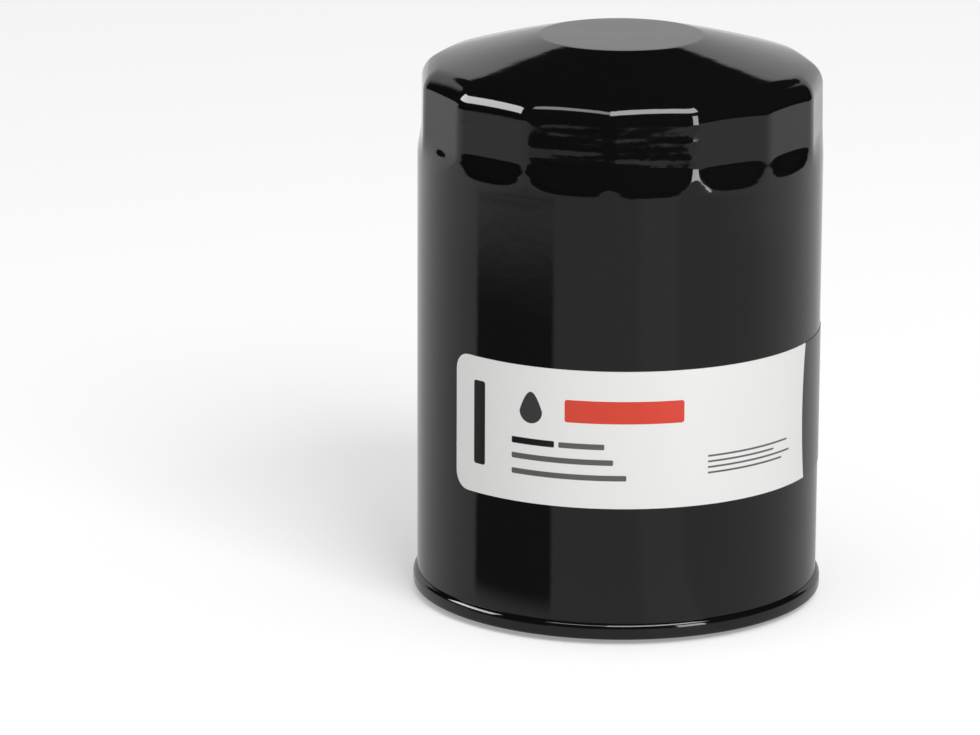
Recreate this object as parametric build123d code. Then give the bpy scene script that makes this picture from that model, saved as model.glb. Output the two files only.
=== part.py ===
from build123d import *
import math
import os

# A spin-on oil filter for a small engine. Millimetres, +Z up. The origin is on the axis, in the plane of the
# gasket's sealing face. The filter stands on that face, with its fluted dome up and its label towards -Y.

# can and its fluted end
BODY_R = 46.5
TOP_Z = 131.0
CAN_T = 0.35
FLAT_R = 18.9
CROWN_TOP_ANGLE = 12.5
CROWN_EDGE_ANGLE = 17.5
SHOULDER_R = 5.8
FLUTES = 15
FLUTE_APOTHEM = 45.6
FLUTE_TURN = 8.92
RIDGE_R = 6.5
FLUTE_Z = 110.0
RUN_OUT_ANGLE = 6.2

# double seam: five layers of sheet, rolled together outside the can's wall
LID_T = 0.3
SEAM_Z = 1.2
SEAM_TOP_Z = 5.0
SEAM_BEND_R = 0.75
SEAM_SHOULDER_Z = 3.6
SEAM_SHOULDER_R = 1.6
SEAM_TOP_W = 0.35
SEAM_TOP_R = 0.15
BODY_HOOK_Z = 3.5
COVER_HOOK_Z = 2.4
COMPOUND_H = 0.6
COMPOUND_TOP_W = 0.2

# seaming lid, gasket channel and gasket
PANEL_Z = 7.2
PANEL_IN_R = 40.2
BEAD_Z = 3.0
CHANNEL_IN_R = 30.5
CHANNEL_OUT_R = 36.6
CHANNEL_EDGE_Z = 2.6
CHANNEL_BEND_R = 0.6
BEAD_BEND_R = 0.8
PANEL_BEND_R = 1.2
GASKET_H = 5.0
GASKET_IN_R = 30.9
GASKET_OUT_R = 36.2
GASKET_EDGE_R = 0.6

# tapping plate: thread 3/4-16 UNF, whose major radius is the bore
PLATE_R = 38.0
PLATE_T = 3.5
THREAD_R = 9.525
HUB_R = 13.2
HUB_H = 10.5
HUB_CHAMFER = 0.9
INLETS = 8
INLET_R = 3.75
INLET_CIRCLE_R = 21.5

# anti-drain-back valve
COLLAR_R = 15.2
COLLAR_FLANGE_R = 20.0
COLLAR_FLANGE_T = 1.5
COLLAR_TOP_Z = 18.5
WEB_TOP_Z = 15.4
WEB_T = 1.2
LIP_IN_R = 25.5
LIP_OUT_R = 29.2
LIP_H = 1.7
LIP_EDGE_T = 0.6
LIP_BEVEL_W = 1.2

# filter element
CAP_T = 0.35
CAP_R = 38.6
CAP_RIM_H = 4.7
CAP_HOLE_R = 14.0
CAP_NECK_H = 3.2
CAP_BEND_R = 0.6
ELEMENT_TOP_Z = 117.5
POTTING_T = 1.5
TUBE_R = 17.0
TUBE_T = 0.4
TUBE_HOLE_R = 3.6
TUBE_HOLES_ROUND = 5
TUBE_HOLE_ROWS = 6
PLEATS = 52
PAPER_T = 0.5
PLEAT_OUT_R = 37.8
PLEAT_IN_R = 18.3
PLEAT_TIP_HALF = 0.6
PLEAT_ROOT_HALF = 0.45
CLIP_T = 0.3
CLIP_DEPTH = 6.0
CLIP_CLEARANCE = 0.06

# bypass valve in the element's upper cap
SEAT_T = 0.5
SEAT_PORT_R = 8.0
SEAT_RIM_T = 0.5
CAGE_T = 0.45
CAGE_R = 12.45
CAGE_FLOOR_Z = 100.0
CAGE_WINDOWS = 4
CAGE_WINDOW_W = 11.0
CAGE_BRIM_BEND_R = 0.5
CAGE_FLOOR_BEND_R = 1.0
CAGE_WINDOW_SILL = 2.5
CAGE_WINDOW_HEAD = 2.0
FACING_T = 1.2
POPPET_R = 10.5
POPPET_T = 0.5
STEM_R = 2.0
STEM_BELOW_FLOOR = 1.5
STEM_CLEARANCE = 0.2
VALVE_WIRE_R = 0.45
VALVE_WIRE_SIDES = 6
VALVE_COIL_R = 6.8
VALVE_COILS = 5

# leaf spring that holds the element down
LEAF_T = 0.6
LEAF_DISC_R = 15.5
LEAF_HOLE_R = 7.5
LEAF_W = 12.0
LEAF_OVERLAP = 3.0
LEAF_KNEE_R = 17.0
LEAF_BEND_R = 3.0
LEAF_FOOT_R = 34.0
LEAF_FOOT_L = 6.0
LEAF_TOE_L = 2.0
LEAF_TOE_H = 1.2
LEAF_TOE_BEND_R = 1.5
LEAVES = 4
LEAVES_START = 45.0

# paper label on the can's front
LABEL_T = 0.15
LABEL_Z = 31.9
LABEL_H = 31.8
LABEL_START = -51.5
LABEL_END = 150.0
LABEL_CORNER_R = 4.0

# room that a cutting tool has past the face that it cuts
CUT = 2.0

# worked out from the sizes above
CROWN_RISE = math.sin(math.radians(CROWN_EDGE_ANGLE)) - math.sin(math.radians(CROWN_TOP_ANGLE))
CROWN_R = (BODY_R - FLAT_R) / CROWN_RISE
CHANNEL_Z = GASKET_H + LID_T / 2
PLATE_Z = GASKET_H + LID_T
PLATE_TOP_Z = PLATE_Z + PLATE_T
TUBE_BASE_Z = COLLAR_TOP_Z + CAP_T
TUBE_TOP_Z = ELEMENT_TOP_Z - CAP_T
MEDIA_Z = TUBE_BASE_Z + POTTING_T
MEDIA_H = TUBE_TOP_Z - POTTING_T - MEDIA_Z
SEAT_Z = TUBE_TOP_Z - SEAT_T
FACING_TOP_Z = SEAT_Z - SEAT_RIM_T
POPPET_TOP_Z = FACING_TOP_Z - FACING_T
POPPET_Z = POPPET_TOP_Z - POPPET_T


def offset_path(points, distance):
    """The points of an open path moved sideways by a distance, to its left, and mitred at each corner."""
    moved = []
    for i, (x, y) in enumerate(points):
        before = points[i - 1] if i else None
        after = points[i + 1] if i + 1 < len(points) else None
        start = math.atan2(y - before[1], x - before[0]) if before else None
        end = math.atan2(after[1] - y, after[0] - x) if after else start
        start = end if start is None else start
        turn = math.remainder(end - start, math.tau)
        normal = start + turn / 2 + math.pi / 2
        reach = distance / math.cos(turn / 2)
        moved.append((x + reach * math.cos(normal), y + reach * math.sin(normal)))
    return moved


def turn_signs(points):
    """For each inner corner of a path, 1 where it turns left and -1 where it turns right."""
    signs = []
    for a, b, c in zip(points, points[1:], points[2:]):
        cross = (b[0] - a[0]) * (c[1] - b[1]) - (b[1] - a[1]) * (c[0] - b[0])
        signs.append(1 if cross > 0 else -1)
    return signs


def sheet_section(points, bends, thickness):
    """The section of a bent sheet, from its middle line's points and the middle's radius at each bend."""
    sides = []
    for side in (thickness / 2, -thickness / 2):
        path = offset_path(points, side)
        radii = [bend - side * sign for bend, sign in zip(bends, turn_signs(points))]
        sides.append(FilletPolyline(*path, radius=radii) if bends else Polyline(*path))
    left, right = sides
    return make_face([left, Line(left @ 1, right @ 1), right, Line(right @ 0, left @ 0)])


def turned(section):
    """A section, drawn with radius as x and height as y, turned about the axis."""
    return revolve(Plane.XZ * section, Axis.Z)


def turned_sheet(points, bends, thickness):
    return turned(sheet_section(points, bends, thickness))


def ring(inner_r, outer_r, z, height):
    """A plain ring, or a disc where the inner radius is 0."""
    solid = Pos(0, 0, z) * extrude(Circle(outer_r), height)
    if inner_r:
        solid -= Pos(0, 0, z) * extrude(Circle(inner_r), height)
    return solid


def fluted_form(inset):
    """The can's outer form, solid, or the same form inset by the wall's thickness."""
    radius = BODY_R - inset
    top = TOP_Z - inset
    apothem = FLUTE_APOTHEM - inset
    slope = math.radians(-CROWN_TOP_ANGLE)
    tangent = (math.cos(slope), math.sin(slope))
    crown = JernArc((FLAT_R, top), tangent, CROWN_R, CROWN_TOP_ANGLE - CROWN_EDGE_ANGLE)
    edge = crown @ 1
    rest = Polyline((edge.X, edge.Y), (edge.X, 0), (0, 0), (0, top), (FLAT_R, top))
    body = turned(make_face([crown, rest])) & extrude(Circle(radius), top)
    flute_z = FLUTE_Z - inset / 2
    polygon = fillet(RegularPolygon(apothem, FLUTES, major_radius=False).vertices(), RIDGE_R - inset)
    polygon = Rot(0, 0, FLUTE_TURN - 90) * polygon
    run_out_h = (radius - apothem + CUT) / math.tan(math.radians(RUN_OUT_ANGLE))
    flutes = Pos(0, 0, flute_z) * extrude(polygon, top - flute_z)
    flutes += Pos(0, 0, flute_z) * extrude(polygon, -run_out_h, taper=-RUN_OUT_ANGLE)
    flutes += extrude(Circle(radius + CUT), flute_z - run_out_h)
    form = body & flutes
    shoulder_z = edge.Y - SHOULDER_R / 2
    boxes = [(edge, edge.bounding_box()) for edge in form.edges()]
    shoulder = [edge for edge, box in boxes if shoulder_z < box.min.Z and box.max.Z < top]
    return fillet(shoulder, SHOULDER_R - inset)


def can():
    """The drawn can: an even wall all over, open below, with its edge hooked out and up into the seam."""
    shell = fluted_form(0) - fluted_form(CAN_T)
    hook_start = SEAM_TOP_Z + CUT
    shell -= extrude(Circle(BODY_R + CUT), hook_start)
    wall_r = BODY_R - CAN_T / 2
    hook_r = BODY_R + LID_T + CAN_T / 2
    bend = SEAM_BEND_R - LID_T - CAN_T / 2
    low = SEAM_Z + LID_T + CAN_T / 2
    path = [(wall_r, hook_start), (wall_r, low), (hook_r, low), (hook_r, BODY_HOOK_Z)]
    return shell + turned_sheet(path, [bend, bend], CAN_T)


def seam_lid():
    """The thin lid: gasket channel, bead, recessed panel, chuck wall and the seam's outer wraps."""
    half = LID_T / 2
    chuck_r = BODY_R - CAN_T - half
    cover_hook_r = BODY_R + half
    outer_r = BODY_R + LID_T + CAN_T + half
    bead_r = PLATE_R + 2 * half
    seam_top = SEAM_TOP_Z - half
    path = [
        (CHANNEL_IN_R, CHANNEL_EDGE_Z),
        (CHANNEL_IN_R, CHANNEL_Z),
        (CHANNEL_OUT_R, CHANNEL_Z),
        (CHANNEL_OUT_R, BEAD_Z),
        (bead_r, BEAD_Z),
        (PANEL_IN_R, PANEL_Z),
        (chuck_r, PANEL_Z),
        (chuck_r, SEAM_Z + half),
        (outer_r, SEAM_Z + half),
        (outer_r, SEAM_SHOULDER_Z),
        (cover_hook_r + SEAM_TOP_W, seam_top),
        (cover_hook_r, seam_top),
        (cover_hook_r, COVER_HOOK_Z),
    ]
    bends = [CHANNEL_BEND_R] * 2 + [BEAD_BEND_R] * 2 + [PANEL_BEND_R] * 2 + [SEAM_BEND_R - half] * 2
    bends += [SEAM_SHOULDER_R, SEAM_TOP_R, SEAM_TOP_R]
    return turned_sheet(path, bends, LID_T)


def seam_compound():
    """The sealing compound in the pocket above the body hook, where the seam's top wrap closes in."""
    inner_r = BODY_R + LID_T
    top = BODY_HOOK_Z + COMPOUND_H
    corners = [
        (inner_r, BODY_HOOK_Z),
        (inner_r + CAN_T, BODY_HOOK_Z),
        (inner_r + COMPOUND_TOP_W, top),
        (inner_r, top),
    ]
    return turned(make_face(Polyline(*corners, close=True)))


def gasket():
    """The square-cut rubber ring in the lid's channel."""
    section = Pos((GASKET_IN_R + GASKET_OUT_R) / 2, GASKET_H / 2) * RectangleRounded(
        GASKET_OUT_R - GASKET_IN_R, GASKET_H, GASKET_EDGE_R
    )
    return turned(section)


def tapping_plate():
    """The thick plate: a threaded hub drawn inwards at its middle, and a circle of inlet holes."""
    hub_top = PLATE_Z + HUB_H
    section = make_face(
        Polyline(
            (THREAD_R + HUB_CHAMFER, PLATE_Z),
            (PLATE_R, PLATE_Z),
            (PLATE_R, PLATE_TOP_Z),
            (HUB_R, PLATE_TOP_Z),
            (HUB_R, hub_top),
            (THREAD_R, hub_top),
            (THREAD_R, PLATE_Z + HUB_CHAMFER),
            close=True,
        )
    )
    plate = turned(section)
    inlet = Pos(0, 0, PLATE_Z) * extrude(Circle(INLET_R), PLATE_T)
    return plate - PolarLocations(INLET_CIRCLE_R, INLETS) * inlet


def anti_drain_collar():
    """The rubber valve's thick middle: it grips the hub, and its flange seals the element's lower cap."""
    flange_z = COLLAR_TOP_Z - COLLAR_FLANGE_T
    section = make_face(
        Polyline(
            (HUB_R, PLATE_TOP_Z),
            (COLLAR_R, PLATE_TOP_Z),
            (COLLAR_R, flange_z),
            (COLLAR_FLANGE_R, flange_z),
            (COLLAR_FLANGE_R, COLLAR_TOP_Z),
            (HUB_R, COLLAR_TOP_Z),
            close=True,
        )
    )
    return turned(section)


def anti_drain_web():
    """The valve's thin skirt, which flexes as its lip lifts."""
    lip_top = PLATE_TOP_Z + LIP_H
    section = make_face(
        Polyline(
            (COLLAR_R, WEB_TOP_Z - WEB_T),
            (COLLAR_R, WEB_TOP_Z),
            (LIP_IN_R, lip_top),
            (LIP_IN_R, lip_top - WEB_T),
            close=True,
        )
    )
    return turned(section)


def anti_drain_lip():
    """The valve's rim, which lies on the plate outside the inlet holes."""
    lip_top = PLATE_TOP_Z + LIP_H
    section = make_face(
        Polyline(
            (LIP_IN_R, lip_top - WEB_T),
            (LIP_IN_R + LIP_BEVEL_W, PLATE_TOP_Z),
            (LIP_OUT_R, PLATE_TOP_Z),
            (LIP_OUT_R, PLATE_TOP_Z + LIP_EDGE_T),
            (LIP_IN_R, lip_top),
            close=True,
        )
    )
    return turned(section)


def lower_end_cap():
    """The element's lower cap: a disc with an outer rim and a neck at its hole, both turned up."""
    middle = COLLAR_TOP_Z + CAP_T / 2
    rim_r = CAP_R - CAP_T / 2
    neck_r = CAP_HOLE_R + CAP_T / 2
    path = [
        (neck_r, COLLAR_TOP_Z + CAP_NECK_H),
        (neck_r, middle),
        (rim_r, middle),
        (rim_r, COLLAR_TOP_Z + CAP_RIM_H),
    ]
    return turned_sheet(path, [CAP_BEND_R, CAP_BEND_R], CAP_T)


def upper_end_cap():
    """The element's upper cap: a disc with a rim turned down, open in the middle over the bypass valve."""
    middle = ELEMENT_TOP_Z - CAP_T / 2
    rim_r = CAP_R - CAP_T / 2
    path = [(CAP_HOLE_R, middle), (rim_r, middle), (rim_r, ELEMENT_TOP_Z - CAP_RIM_H)]
    return turned_sheet(path, [CAP_BEND_R], CAP_T)


def potting(cap_side):
    """The adhesive that seals the paper and the tube into a cap, which is below it (-1) or above it (1)."""
    width = CAP_R - CAP_T - TUBE_R
    section = Rectangle(width, POTTING_T)
    corner = section.vertices().filter_by(lambda v: v.X > 0 and v.Y * cap_side > 0)
    section = fillet(corner, CAP_BEND_R)
    z = TUBE_BASE_Z + POTTING_T / 2 if cap_side < 0 else TUBE_TOP_Z - POTTING_T / 2
    return turned(Pos(TUBE_R + width / 2, z) * section)


def pleat_outline(inset):
    """The closed zigzag of the paper's outer face, or its inner face where inset is the paper's thickness."""
    points = []
    pitch = math.tau / PLEATS
    for i in range(PLEATS):
        tip = i * pitch
        root = tip + pitch / 2
        out_r = PLEAT_OUT_R - inset
        in_r = PLEAT_IN_R + PAPER_T - inset
        tip_half = PLEAT_TIP_HALF + PAPER_T / 2 - inset
        root_half = PLEAT_ROOT_HALF - PAPER_T / 2 + inset
        corners = [
            (out_r, -tip_half, tip),
            (out_r, tip_half, tip),
            (in_r, -root_half, root),
            (in_r, root_half, root),
        ]
        for r, across, angle in corners:
            x = r * math.cos(angle) - across * math.sin(angle)
            y = r * math.sin(angle) + across * math.cos(angle)
            points.append((x, y))
    return make_face(Polyline(*points, close=True))


def pleated_media():
    """The paper, folded into radial pleats round the tube."""
    return Pos(0, 0, MEDIA_Z) * extrude(pleat_outline(0) - pleat_outline(PAPER_T), MEDIA_H)


def media_seam_clip():
    """The folded metal strip that joins the paper's two ends at one pleat."""
    half = PLEAT_TIP_HALF + PAPER_T / 2 + CLIP_CLEARANCE
    depth = CLIP_DEPTH + CLIP_T
    strip = Rectangle(depth, 2 * (half + CLIP_T)) - Pos(-CLIP_T, 0) * Rectangle(depth, 2 * half)
    x = PLEAT_OUT_R + CLIP_T - depth / 2
    return Pos(x, 0, MEDIA_Z) * extrude(strip, MEDIA_H)


def centre_tube():
    """The perforated steel tube that the paper is pressed against."""
    length = TUBE_TOP_Z - TUBE_BASE_Z
    tube = ring(TUBE_R - TUBE_T, TUBE_R, TUBE_BASE_Z, length)
    row_pitch = length / (TUBE_HOLE_ROWS + 1)
    round_pitch = 360 / TUBE_HOLES_ROUND
    drill = Rot(0, 90, 0) * extrude(Circle(TUBE_HOLE_R), TUBE_R + CUT)
    drills = []
    for row in range(TUBE_HOLE_ROWS):
        for i in range(TUBE_HOLES_ROUND):
            angle = round_pitch * (i + row % 2 / 2)
            drills.append(Pos(0, 0, TUBE_BASE_Z + row_pitch * (row + 1)) * Rot(0, 0, angle) * drill)
    return tube - drills


def bypass_seat():
    """The bypass valve's seat: a washer under the upper cap, with a raised rim round its port."""
    return ring(SEAT_PORT_R, TUBE_R - TUBE_T, SEAT_Z, SEAT_T) + ring(
        SEAT_PORT_R, SEAT_PORT_R + SEAT_RIM_T, FACING_TOP_Z, SEAT_RIM_T
    )


def bypass_cage():
    """The pressed cup that hangs from the seat: four legs between windows, and a floor for the spring."""
    half = CAGE_T / 2
    wall_r = CAGE_R - half
    path = [
        (TUBE_R - TUBE_T, SEAT_Z - half),
        (wall_r, SEAT_Z - half),
        (wall_r, CAGE_FLOOR_Z + half),
        (STEM_R + STEM_CLEARANCE, CAGE_FLOOR_Z + half),
    ]
    cage = turned_sheet(path, [CAGE_BRIM_BEND_R, CAGE_FLOOR_BEND_R], CAGE_T)
    window_z = CAGE_FLOOR_Z + CAGE_WINDOW_SILL
    window_h = SEAT_Z - CAGE_WINDOW_HEAD - window_z
    window = Pos(CAGE_R, 0, window_z + window_h / 2) * Box(3 * CUT, CAGE_WINDOW_W, window_h)
    return cage - PolarLocations(0, CAGE_WINDOWS) * window


def bypass_facing():
    """The rubber disc that seals on the seat's rim."""
    return ring(0, POPPET_R, POPPET_TOP_Z, FACING_T)


def bypass_poppet():
    """The plate that carries the facing, and its guide stem."""
    stem_z = CAGE_FLOOR_Z - STEM_BELOW_FLOOR
    return ring(0, POPPET_R, POPPET_Z, POPPET_T) + ring(0, STEM_R, stem_z, POPPET_Z - stem_z)


def bypass_spring():
    """The coil spring between the cage's floor and the poppet."""
    low = CAGE_FLOOR_Z + CAGE_T + VALVE_WIRE_R
    height = POPPET_Z - VALVE_WIRE_R - low
    path = Helix(pitch=height / VALVE_COILS, height=height, radius=VALVE_COIL_R)
    wire = Plane(path @ 0, z_dir=path % 0) * RegularPolygon(VALVE_WIRE_R, VALVE_WIRE_SIDES)
    return Pos(0, 0, low) * sweep(wire, path=path)


def hold_down_spring():
    """The leaf spring: a disc under the dome's flat, and four leaves that press on the upper cap."""
    half = LEAF_T / 2
    top = TOP_Z - CAN_T - half
    foot = ELEMENT_TOP_Z + half
    spring = ring(LEAF_HOLE_R, LEAF_DISC_R, top - half, LEAF_T)
    path = [
        (LEAF_DISC_R - LEAF_OVERLAP, top),
        (LEAF_KNEE_R, top),
        (LEAF_FOOT_R - LEAF_FOOT_L, foot),
        (LEAF_FOOT_R - LEAF_TOE_L, foot),
        (LEAF_FOOT_R, foot + LEAF_TOE_H),
    ]
    section = sheet_section(path, [LEAF_BEND_R, LEAF_BEND_R, LEAF_TOE_BEND_R], LEAF_T)
    leaf = extrude(Plane.XZ * section, LEAF_W / 2, both=True)
    return spring + PolarLocations(0, LEAVES, start_angle=LEAVES_START) * leaf


def label():
    """The paper label, wrapped round the can's front. Azimuths run from -Y towards +X."""
    section = Pos(BODY_R + LABEL_T / 2, LABEL_Z + LABEL_H / 2) * Rectangle(LABEL_T, LABEL_H)
    arc = LABEL_END - LABEL_START
    wrap = revolve(Plane.XZ * section, Axis.Z, revolution_arc=arc)
    radius = LABEL_CORNER_R
    corner_arc = math.degrees(radius / BODY_R)
    disc = extrude(Circle(radius), 2 * CUT)
    for angle, side in ((corner_arc, -1), (arc - corner_arc, 1)):
        for z, up in ((LABEL_Z + radius, -1), (LABEL_Z + LABEL_H - radius, 1)):
            square = Pos(side * radius, up * radius) * extrude(Rectangle(2 * radius, 2 * radius), 2 * CUT)
            outward = Plane((BODY_R - CUT, 0, z), x_dir=(0, 1, 0), z_dir=(1, 0, 0))
            wrap -= Rot(0, 0, angle) * outward.location * (square - disc)
    return Rot(0, 0, LABEL_START - 90) * wrap


os.makedirs("parts", exist_ok=True)
pieces = {
    "can": can(),
    "label": label(),
    "seam_lid": seam_lid(),
    "seam_compound": seam_compound(),
    "gasket": gasket(),
    "tapping_plate": tapping_plate(),
    "anti_drain_collar": anti_drain_collar(),
    "anti_drain_web": anti_drain_web(),
    "anti_drain_lip": anti_drain_lip(),
    "lower_end_cap": lower_end_cap(),
    "lower_potting": potting(-1),
    "pleated_media": pleated_media(),
    "media_seam_clip": media_seam_clip(),
    "centre_tube": centre_tube(),
    "upper_potting": potting(1),
    "upper_end_cap": upper_end_cap(),
    "bypass_seat": bypass_seat(),
    "bypass_cage": bypass_cage(),
    "bypass_facing": bypass_facing(),
    "bypass_poppet": bypass_poppet(),
    "bypass_spring": bypass_spring(),
    "hold_down_spring": hold_down_spring(),
}
for name, piece in pieces.items():
    export_step(piece, f"parts/{name}.step")
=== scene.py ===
import bpy
import bmesh
import math
import numpy as np
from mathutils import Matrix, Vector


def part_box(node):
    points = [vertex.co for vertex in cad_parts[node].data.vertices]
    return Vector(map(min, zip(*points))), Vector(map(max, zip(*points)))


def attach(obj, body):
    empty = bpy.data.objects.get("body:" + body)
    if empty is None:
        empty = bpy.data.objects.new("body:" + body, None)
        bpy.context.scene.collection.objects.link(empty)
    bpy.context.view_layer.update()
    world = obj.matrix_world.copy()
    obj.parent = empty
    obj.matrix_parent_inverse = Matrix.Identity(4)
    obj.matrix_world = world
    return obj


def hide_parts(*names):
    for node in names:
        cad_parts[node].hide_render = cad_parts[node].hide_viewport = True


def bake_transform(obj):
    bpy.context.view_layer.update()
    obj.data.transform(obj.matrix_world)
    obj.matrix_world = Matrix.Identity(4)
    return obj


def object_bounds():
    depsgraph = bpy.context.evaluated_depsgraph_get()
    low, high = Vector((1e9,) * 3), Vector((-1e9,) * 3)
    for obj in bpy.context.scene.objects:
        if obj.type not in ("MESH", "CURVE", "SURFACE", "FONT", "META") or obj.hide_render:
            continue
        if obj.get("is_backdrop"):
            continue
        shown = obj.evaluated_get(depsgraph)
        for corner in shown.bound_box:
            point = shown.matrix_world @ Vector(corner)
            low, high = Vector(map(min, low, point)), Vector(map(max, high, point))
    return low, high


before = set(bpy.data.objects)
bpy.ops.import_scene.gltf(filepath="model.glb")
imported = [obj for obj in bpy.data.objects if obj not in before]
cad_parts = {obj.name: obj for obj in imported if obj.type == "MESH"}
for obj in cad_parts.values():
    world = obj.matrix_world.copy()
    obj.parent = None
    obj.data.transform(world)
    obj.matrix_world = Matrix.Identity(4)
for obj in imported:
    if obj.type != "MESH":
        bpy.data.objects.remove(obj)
cad_low, cad_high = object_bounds()


# ---------------------------------------------------------------- can
# The can is one drawn steel cup with an even wall. Its closed end has 15 pressed flats for a cap wrench,
# which run out into the round wall, then a shallow cone and a flat disc. It is stoved in black enamel.
# The sizes of all the pieces are in millimetres, and MM turns them to metres.

MM = 0.001
CAN_R = 46.5
CAN_WALL = 0.35
FLUTES = 15
FLUTE_APOTHEM = 45.5
FLUTE_TURN = math.radians(-3.08 - 90)
RIDGE_R = 8.0
FLUTE_Z = 109.8
FLUTE_DRAFT = math.tan(math.radians(0.8))
RUN_OUT_LENGTH = 7.8
RUN_OUT_BIAS = 1.5
SHOULDER_R = 5.8
SHOULDER_Z = 119.0
DISC_R = 18.9
DISC_BLEND_R = 4.0
CROWN_TOP = math.radians(12.5)
CROWN_FOOT = math.radians(17.5)
CROWN_R = (CAN_R - DISC_R) / (math.sin(CROWN_FOOT) - math.sin(CROWN_TOP))
CROWN_STEPS = 12
DISC_RINGS = (0.8, 0.5, 0.2, 0)


def surface(name, *grids, around=True, closed=True):
    """A mesh of quads from grids of points in millimetres, rows by columns. The last column joins the first
    where around is true, and the last row joins the first where closed is true. Doubled points are merged,
    which joins the grids, faces are turned outwards, and edges sharper than 35 degrees shade sharp."""
    points = np.concatenate([grid.reshape(-1, 3) for grid in grids]) * MM
    quads = []
    start = 0
    for grid in grids:
        rows, columns = grid.shape[:2]
        index = start + np.arange(rows * columns).reshape(rows, columns)
        start += rows * columns
        if around:
            index = np.concatenate([index, index[:, :1]], axis=1)
        if closed:
            index = np.concatenate([index, index[:1]], axis=0)
        corners = [index[:-1, :-1], index[:-1, 1:], index[1:, 1:], index[1:, :-1]]
        quads.append(np.stack(corners, axis=-1).reshape(-1, 4))
    mesh = bpy.data.meshes.new(name)
    mesh.from_pydata(points.tolist(), [], np.concatenate(quads).tolist())
    shape = bmesh.new()
    shape.from_mesh(mesh)
    bmesh.ops.remove_doubles(shape, verts=shape.verts, dist=1e-7)
    bmesh.ops.recalc_face_normals(shape, faces=shape.faces)
    shape.to_mesh(mesh)
    shape.free()
    mesh.shade_smooth()
    mesh.set_sharp_from_angle(angle=math.radians(35))
    piece = bpy.data.objects.new(name, mesh)
    bpy.context.scene.collection.objects.link(piece)
    return piece


def around_axis(section, angles):
    """A section of radius and height, carried round the axis to each angle."""
    radii = section[:, :1]
    levels = np.repeat(section[:, 1:], len(angles), axis=1)
    return np.stack([radii * np.cos(angles), radii * np.sin(angles), levels], axis=-1)


def linear(code):
    """An sRGB hex code as linear red, green, blue and an alpha of 1."""
    srgb = np.array([int(code[i : i + 2], 16) for i in (1, 3, 5)]) / 255
    return (*np.where(srgb <= 0.04045, srgb / 12.92, ((srgb + 0.055) / 1.055) ** 2.4), 1.0)


def add_node(tree, kind, inputs=None, **settings):
    """A node with its settings. An input is a value, or the output socket that it is linked from."""
    node = tree.nodes.new(kind)
    for key, value in settings.items():
        setattr(node, key, value)
    for key, value in (inputs or {}).items():
        if isinstance(value, bpy.types.NodeSocket):
            tree.links.new(value, node.inputs[key])
        else:
            node.inputs[key].default_value = value
    return node


def start_material(name):
    """A new material's tree, emptied, with its output node."""
    material = bpy.data.materials.new(name)
    material.use_nodes = True
    material.node_tree.nodes.clear()
    return material, material.node_tree, add_node(material.node_tree, "ShaderNodeOutputMaterial")


def flute_wall(azimuth, z, inset):
    """The wall's radius: a 15-sided polygon's, with drafted sides, a corner at FLUTE_TURN, and its corners
    rounded by arcs of RIDGE_R. Over RUN_OUT_LENGTH below FLUTE_Z a smooth step, steepest near its top by
    RUN_OUT_BIAS, takes it to the can's own radius."""
    half = math.pi / FLUTES
    from_flat = np.abs((azimuth - FLUTE_TURN) % (2 * half) - half)
    below = FLUTE_Z - z
    apothem = FLUTE_APOTHEM + below * FLUTE_DRAFT
    flat_radius = apothem / np.cos(from_flat)
    centre = (apothem - RIDGE_R) / math.cos(half)
    to_corner = half - from_flat
    reach = np.sqrt(np.maximum(RIDGE_R**2 - (centre * np.sin(to_corner)) ** 2, 0))
    corner_radius = centre * np.cos(to_corner) + reach
    tangent = np.arctan((apothem - RIDGE_R) * math.tan(half) / apothem)
    polygon = np.where(from_flat > tangent, corner_radius, flat_radius)
    share = 1 - (1 - np.clip(below / RUN_OUT_LENGTH, 0, 1)) ** RUN_OUT_BIAS
    share = share**2 * (3 - 2 * share)
    return polygon * (1 - share) + CAN_R * share - inset


def can_skin(azimuth, inset, heights, steps):
    """One skin of the can from its lowest height to the dome's middle: the wall, an arc over the shoulder
    that touches the wall and the crown, the crown's own arc, an arc into the flat disc, and the disc."""
    top = cad_high.z / MM - inset
    around = np.ones_like(azimuth)
    shoulder = SHOULDER_R - inset
    crown_r = DISC_R - CROWN_R * math.sin(CROWN_TOP)
    crown_z = top - CROWN_R * math.cos(CROWN_TOP)
    centre_r = flute_wall(azimuth, SHOULDER_Z * around, inset) - shoulder
    centre_z = crown_z + np.sqrt((CROWN_R - shoulder) ** 2 - (centre_r - crown_r) ** 2)
    contact = np.arctan2(centre_r - crown_r, centre_z - crown_z)
    rows = [(flute_wall(azimuth, z * around, inset), z * around) for z in heights]
    for share in np.linspace(0, 1, steps):
        turn = share * (math.pi / 2 - contact)
        rows.append((centre_r + shoulder * np.cos(turn), centre_z + shoulder * np.sin(turn)))
    blend_z = top - DISC_BLEND_R
    blend_r = crown_r + math.sqrt((CROWN_R - DISC_BLEND_R) ** 2 - (blend_z - crown_z) ** 2)
    blend = math.atan2(blend_r - crown_r, blend_z - crown_z)
    for share in np.linspace(0, 1, CROWN_STEPS)[1:]:
        slope = contact + (blend - contact) * share
        rows.append((crown_r + CROWN_R * np.sin(slope), crown_z + CROWN_R * np.cos(slope)))
    for slope in np.linspace(blend, 0, steps // 2)[1:]:
        radius = blend_r + DISC_BLEND_R * math.sin(slope)
        rows.append((radius * around, (blend_z + DISC_BLEND_R * math.cos(slope)) * around))
    rows += [(blend_r * share * around, top * around) for share in DISC_RINGS]
    radii, levels = (np.array(part) for part in zip(*rows))
    return np.stack([radii * np.cos(azimuth), radii * np.sin(azimuth), levels], axis=-1)


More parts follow.
